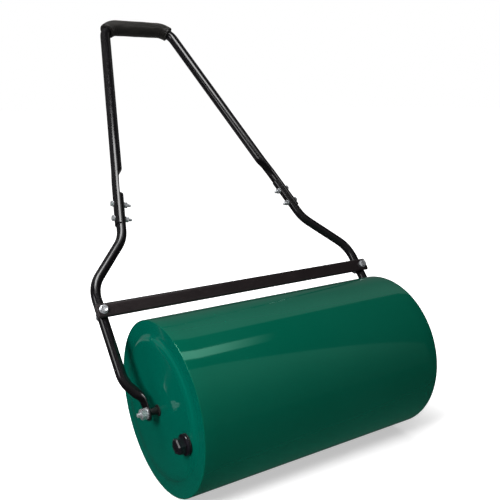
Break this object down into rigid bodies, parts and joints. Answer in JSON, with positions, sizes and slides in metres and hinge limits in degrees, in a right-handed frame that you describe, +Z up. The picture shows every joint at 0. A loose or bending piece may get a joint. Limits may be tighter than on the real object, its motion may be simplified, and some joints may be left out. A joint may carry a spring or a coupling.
{
  "type": "lawn roller",
  "caption": "Water-filled steel lawn roller: drum on a through axle with a screw-in filler plug, pushed by a bent tube handle with a foam grip.",
  "frame": {"origin": "on the ground, under the middle of the bounding box of the whole roller", "axes": "+X along the axle towards the end without the filler, +Y to the rear where the handle leans, +Z up"},
  "size_m": [0.6376, 0.7687, 0.8434],
  "materials": {
    "drum_paint": "gloss",
    "frame_paint": "semi-gloss powder coat",
    "foam": "matt closed-cell foam",
    "zinc": "bright zinc plating",
    "spacer_plastic": "matt",
    "bush_plastic": "matt",
    "seal_rubber": "matt",
    "plug_plastic": "satin"
  },
  "bodies": {
    "frame": {"upper_handle": "frame_paint", "foam_grip": "foam", "lower_arm_left": "frame_paint", "lower_arm_right": "frame_paint", "crossbar": "frame_paint", "crossbar_bolts": "zinc", "crossbar_washers": "zinc", "crossbar_nuts": "zinc", "joint_bolts": "zinc", "joint_washers": "zinc", "joint_nuts": "zinc", "axle_rod": "zinc", "axle_spacers": "spacer_plastic", "axle_washers": "zinc", "axle_nuts": "zinc"},
    "drum": {"drum_shell": "drum_paint", "drum_end_left": "drum_paint", "drum_end_right": "drum_paint", "axle_sleeve": "drum_paint", "bearing_bush_left": "bush_plastic", "bearing_bush_right": "bush_plastic", "filler_neck": "drum_paint"},
    "seal": {"plug_seal": "seal_rubber"},
    "plug": {"filler_plug": "plug_plastic"}
  },
  "joints": [
    {"name": "drum_spin", "type": "hinge", "parent": "frame", "child": "drum", "pos_m": [0, -0.22428, 0.16], "axis": [1, 0, 0], "continuous": true},
    {"name": "plug_slide", "type": "slide", "parent": "drum", "child": "seal", "axis": [-1, 0, 0], "range_m": [0, 0.01]},
    {"name": "plug_turn", "type": "hinge", "parent": "seal", "child": "plug", "pos_m": [-0.2765, -0.32867, 0.14159], "axis": [-1, 0, 0], "range_deg": [0, 1440]}
  ],
  "couplings": [
    {"joint": "plug_slide", "follows": "plug_turn", "m_per_rad": 0.000397}
  ]
}
